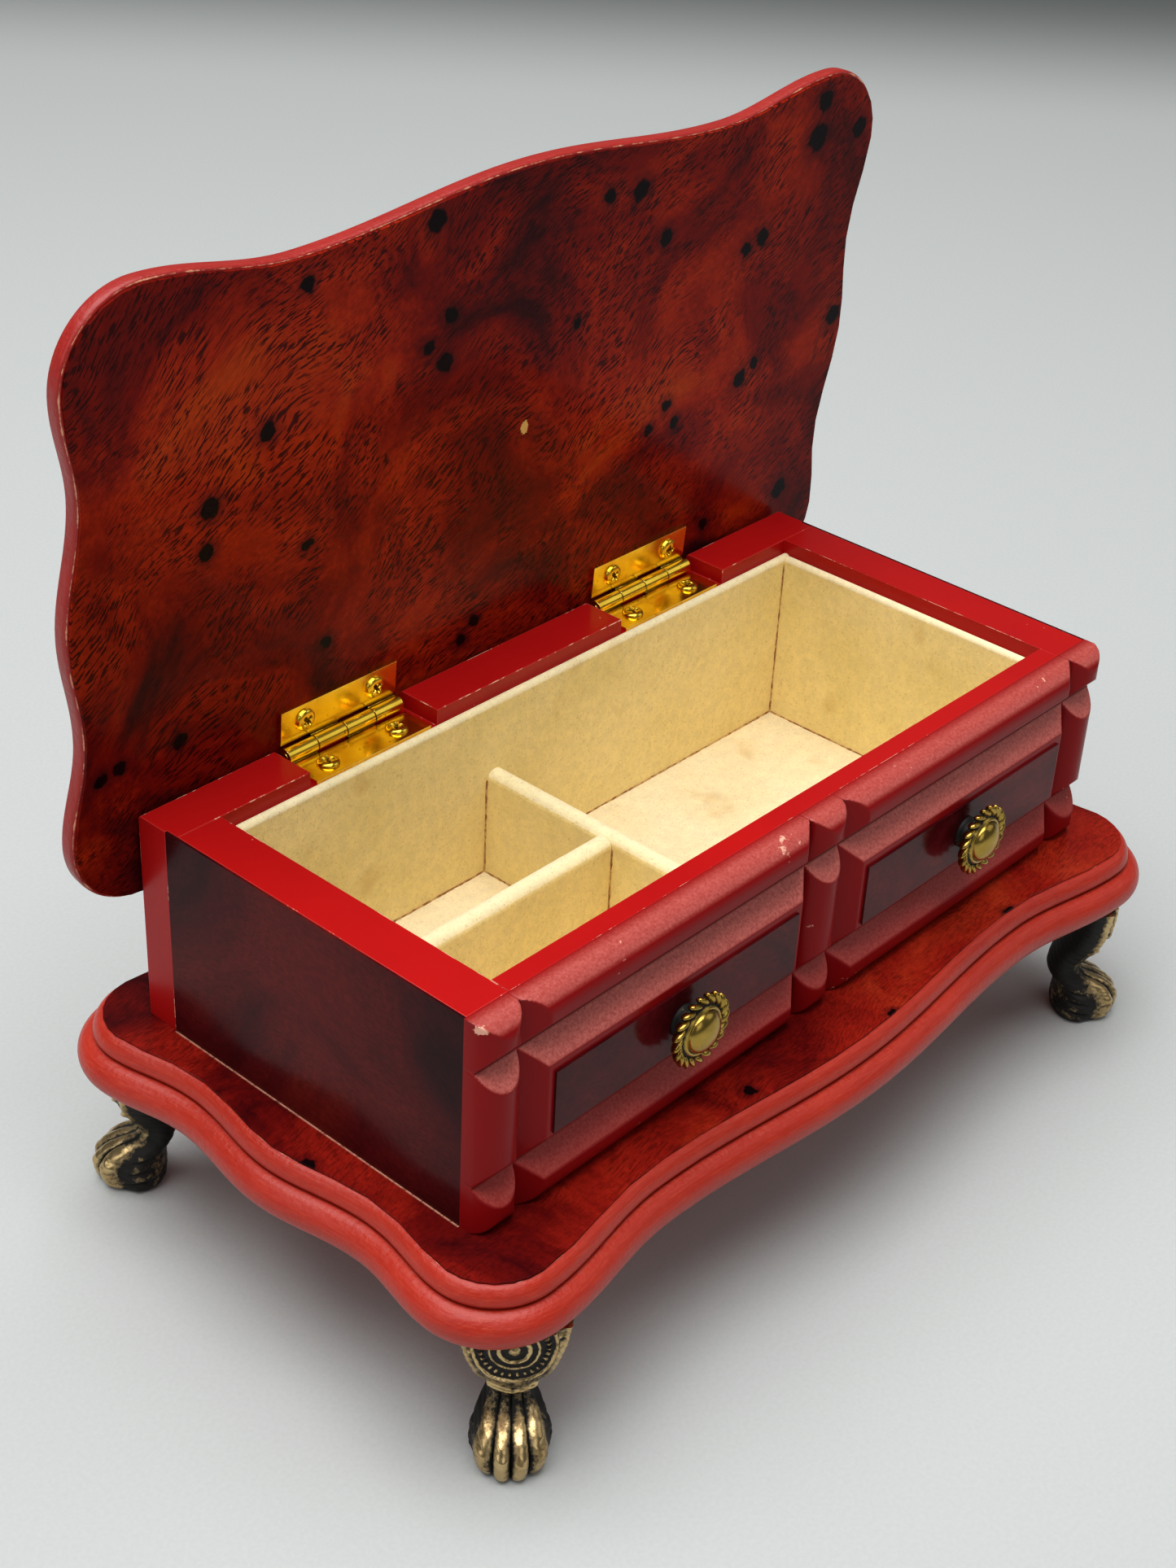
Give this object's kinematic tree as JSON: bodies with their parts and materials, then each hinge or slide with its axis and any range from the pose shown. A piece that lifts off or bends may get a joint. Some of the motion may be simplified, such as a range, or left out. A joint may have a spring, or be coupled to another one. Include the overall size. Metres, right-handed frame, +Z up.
{
  "type": "footed jewelry box",
  "caption": "Footed jewelry box: open lined case with two dividers, false drawer front, serpentine moulded plinth and hinged lid on paw feet.",
  "frame": {"origin": "on the surface that the feet stand on, under the middle of the case", "axes": "+X to the right along the drawer front, +Y from the drawer front to the hinged back, +Z up"},
  "size_m": [0.2534, 0.1446, 0.2283],
  "materials": {
    "red_lacquer": "deep red lacquer over fibreboard, satin gloss",
    "moulding_lacquer": "orange-red lacquer over routed fibreboard, satin",
    "burl_veneer": "red-brown burl veneer under clear gloss lacquer",
    "dark_veneer": "very dark burl veneer under clear gloss lacquer",
    "flocked_card": "cream and tan flock on stiff card",
    "bright_brass": "polished brass plate",
    "antique_brass": "cast brass with black patina in the recesses"
  },
  "bodies": {
    "case": {"plinth_board": "moulding_lacquer", "plinth_veneer": "burl_veneer", "plinth_screws": "bright_brass", "side_board_left": "red_lacquer", "side_board_right": "red_lacquer", "rear_board": "red_lacquer", "front_inner_board": "red_lacquer", "front_panel": "red_lacquer", "side_veneer_left": "dark_veneer", "side_veneer_right": "dark_veneer", "drawer_veneer_left": "dark_veneer", "drawer_veneer_right": "dark_veneer", "liner_floor": "flocked_card", "liner_rear": "flocked_card", "liner_front": "flocked_card", "liner_left": "flocked_card", "liner_right": "flocked_card", "divider_long": "flocked_card", "divider_short": "flocked_card", "knob_left": "antique_brass", "knob_right": "antique_brass", "knob_screws": "bright_brass", "foot_front_left": "antique_brass", "foot_front_right": "antique_brass", "foot_rear_left": "antique_brass", "foot_rear_right": "antique_brass", "foot_screws": "bright_brass", "hinge_leaf_case_left": "bright_brass", "hinge_leaf_case_right": "bright_brass", "hinge_pin_left": "bright_brass", "hinge_pin_right": "bright_brass", "hinge_screws_case": "bright_brass"},
    "lid": {"lid_board": "moulding_lacquer", "lid_inner_veneer": "burl_veneer", "lid_outer_veneer": "burl_veneer", "hinge_leaf_lid_left": "bright_brass", "hinge_leaf_lid_right": "bright_brass", "hinge_screws_lid": "bright_brass"}
  },
  "joints": [
    {"name": "lid_hinge", "type": "hinge", "parent": "case", "child": "lid", "pos_m": [0, 0.0515, 0.1045], "axis": [-1, 0, 0], "range_deg": [-86, 5]}
  ]
}
